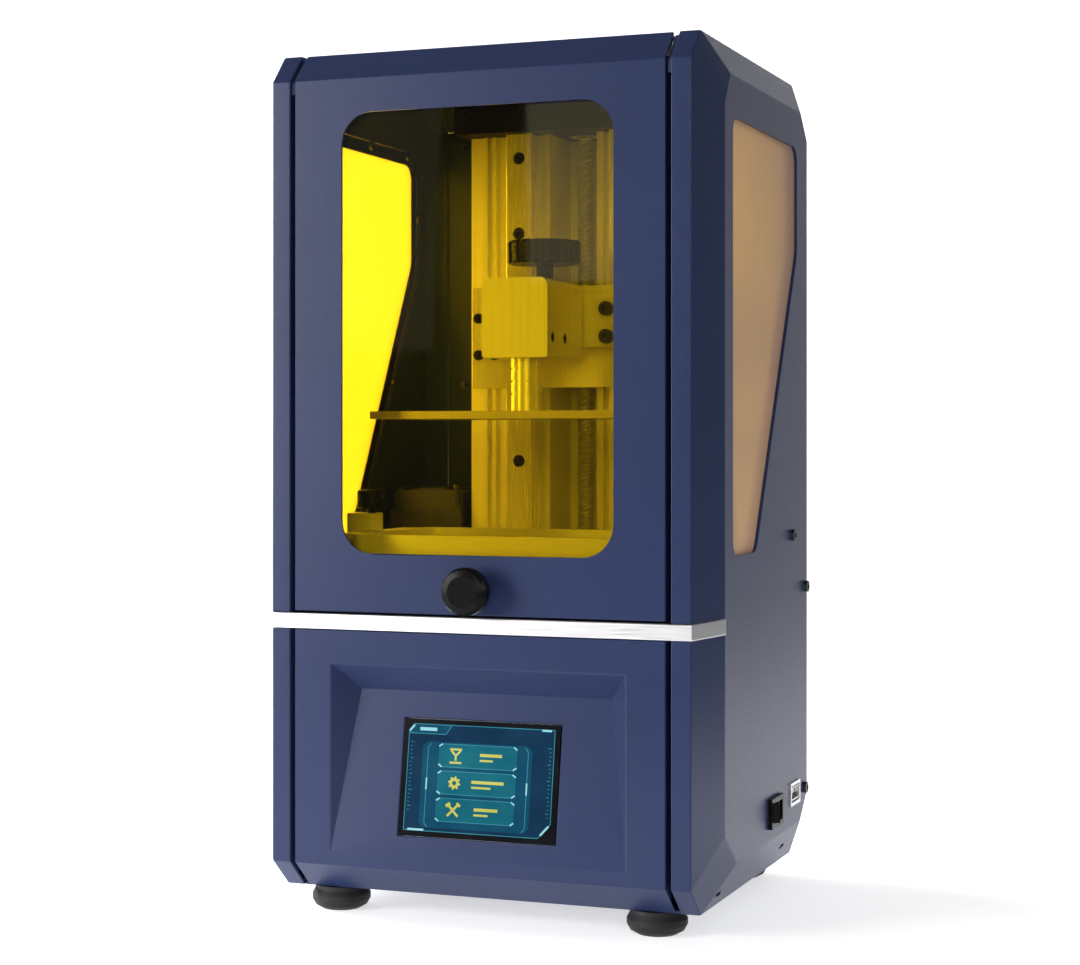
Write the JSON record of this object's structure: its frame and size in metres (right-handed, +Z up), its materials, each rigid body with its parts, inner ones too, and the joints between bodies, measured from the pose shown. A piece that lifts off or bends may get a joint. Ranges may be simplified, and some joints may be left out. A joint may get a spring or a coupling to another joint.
{
  "type": "resin printer",
  "caption": "Desktop mask-LCD resin printer: navy sheet-metal case with lift-up amber-window door, touch screen, vat, build platform and screw-driven Z axis.",
  "frame": {"origin": "under the middle of the machine, on the surface its feet stand on", "axes": "+Z up, -Y towards the door and screen (front), +X to the machine's right as seen from the front"},
  "size_m": [0.2194, 0.2057, 0.4],
  "materials": {
    "case_paint": "fine powder coat",
    "silver_trim": "satin anodised",
    "frame_black": "matt black",
    "black_rubber": "matt",
    "black_steel": "black oxide",
    "amber_window": "amber acrylic",
    "black_plastic": "smooth black",
    "hinge_steel": "brushed",
    "anodised_aluminium": "bead blasted, anodised",
    "rail_steel": "ground",
    "screw_steel": "rolled thread",
    "nut_brass": "turned",
    "motor_black": "matt",
    "sensor_plastic": "matt",
    "plate_aluminium": "brushed and anodised",
    "vat_aluminium": "anodised",
    "clear_film": "clear film",
    "deck_black": "matt black",
    "lcd_glass": "dark glass",
    "lens_clear": "clear lens",
    "board_green": "solder mask",
    "fan_plastic": "moulded",
    "filter_plastic": "moulded",
    "screen_glass": "touch screen",
    "module_steel": "pressed",
    "socket_metal": "plated"
  },
  "bodies": {
    "case": {"left_side_panel": "case_paint", "right_side_panel": "case_paint", "top_cover": "case_paint", "rear_cover": "case_paint", "base_plate": "case_paint", "lower_front_panel": "case_paint", "silver_trim_band": "silver_trim", "front_frame": "frame_black", "rubber_feet": "black_rubber", "case_screws": "black_steel", "left_window": "amber_window", "right_window": "amber_window", "fixed_hinge_leaf": "hinge_steel", "hinge_pin": "hinge_steel", "z_column": "anodised_aluminium", "linear_rails": "rail_steel", "column_screws": "black_steel", "stepper_motor": "motor_black", "top_bracket": "frame_black", "top_bearing": "rail_steel", "end_stop_sensor": "sensor_plastic", "vat_clamps": "vat_aluminium", "deck_plate": "deck_black", "mask_lcd": "lcd_glass", "light_hood": "frame_black", "lens_plate": "lens_clear", "uv_led_board": "board_green", "heatsink": "anodised_aluminium", "fan_frames": "fan_plastic", "filter_box": "filter_plastic", "mainboard": "board_green", "standoffs": "nut_brass", "touch_screen": "screen_glass", "display_module": "module_steel", "switch_bezel": "black_plastic", "usb_port": "socket_metal", "power_inlet": "black_plastic"},
    "door": {"door_panel": "case_paint", "door_window": "amber_window", "door_knob": "black_plastic", "moving_hinge_leaf": "hinge_steel"},
    "carriage": {"rail_carriages": "rail_steel", "carriage_plate": "anodised_aluminium", "carriage_screws": "black_steel", "lead_nut": "nut_brass", "lifting_arm": "anodised_aluminium"},
    "platform": {"platform_head": "anodised_aluminium", "levelling_screws": "black_steel"},
    "clamp_knob": {"platform_knob": "black_plastic"},
    "plate": {"ball_post": "rail_steel", "build_plate": "plate_aluminium"},
    "screw": {"lead_screw": "screw_steel"},
    "vat": {"vat_body": "vat_aluminium", "release_film": "clear_film", "film_frame": "vat_aluminium"},
    "left_thumb": {"left_thumbscrew": "black_plastic"},
    "right_thumb": {"right_thumbscrew": "black_plastic"},
    "rocker": {"power_rocker": "black_plastic"},
    "lamp_rotor": {"lamp_fan_rotor": "fan_plastic"},
    "exhaust_rotor": {"exhaust_fan_rotor": "fan_plastic"}
  },
  "joints": [
    {"name": "door_hinge", "type": "hinge", "parent": "case", "child": "door", "pos_m": [0, -0.0705, 0.3955], "axis": [-1, 0, 0], "range_deg": [0, 100]},
    {"name": "z_lift", "type": "slide", "parent": "case", "child": "carriage", "axis": [0, 0, 1], "range_m": [-0.0833, 0.076]},
    {"name": "lead_screw_spin", "type": "hinge", "parent": "case", "child": "screw", "pos_m": [0, 0.063, 0.26], "axis": [0, 0, 1], "continuous": true},
    {"name": "platform_slide", "type": "slide", "parent": "carriage", "child": "platform", "axis": [0, -1, 0], "range_m": [0, 0.015]},
    {"name": "clamp_knob_turn", "type": "hinge", "parent": "platform", "child": "clamp_knob", "pos_m": [0, 0.002, 0.311], "axis": [0, 0, 1], "range_deg": [0, 720]},
    {"name": "plate_tilt", "type": "hinge", "parent": "platform", "child": "plate", "pos_m": [0, -0.022, 0.2645], "axis": [1, 0, 0], "range_deg": [0, 4]},
    {"name": "vat_slide", "type": "slide", "parent": "case", "child": "vat", "axis": [0, -1, 0], "range_m": [0, 0.012]},
    {"name": "left_thumb_turn", "type": "hinge", "parent": "case", "child": "left_thumb", "pos_m": [-0.0765, -0.032, 0.191], "axis": [0, 0, 1], "range_deg": [0, 720]},
    {"name": "right_thumb_turn", "type": "hinge", "parent": "case", "child": "right_thumb", "pos_m": [0.0765, -0.032, 0.191], "axis": [0, 0, 1], "range_deg": [0, 720]},
    {"name": "power_rocker_tilt", "type": "hinge", "parent": "case", "child": "rocker", "pos_m": [0.1056, 0.0345, 0.04075], "axis": [0, 0, -1], "range_deg": [0, 24]},
    {"name": "lamp_fan_spin", "type": "hinge", "parent": "case", "child": "lamp_rotor", "pos_m": [-0.045, 0.092, 0.085], "axis": [0, 1, 0], "continuous": true},
    {"name": "exhaust_fan_spin", "type": "hinge", "parent": "case", "child": "exhaust_rotor", "pos_m": [-0.0805, 0.062, 0.189], "axis": [0, 0, 1], "continuous": true}
  ],
  "couplings": [
    {"joint": "lead_screw_spin", "follows": "z_lift", "rad_per_m": -785.4}
  ]
}
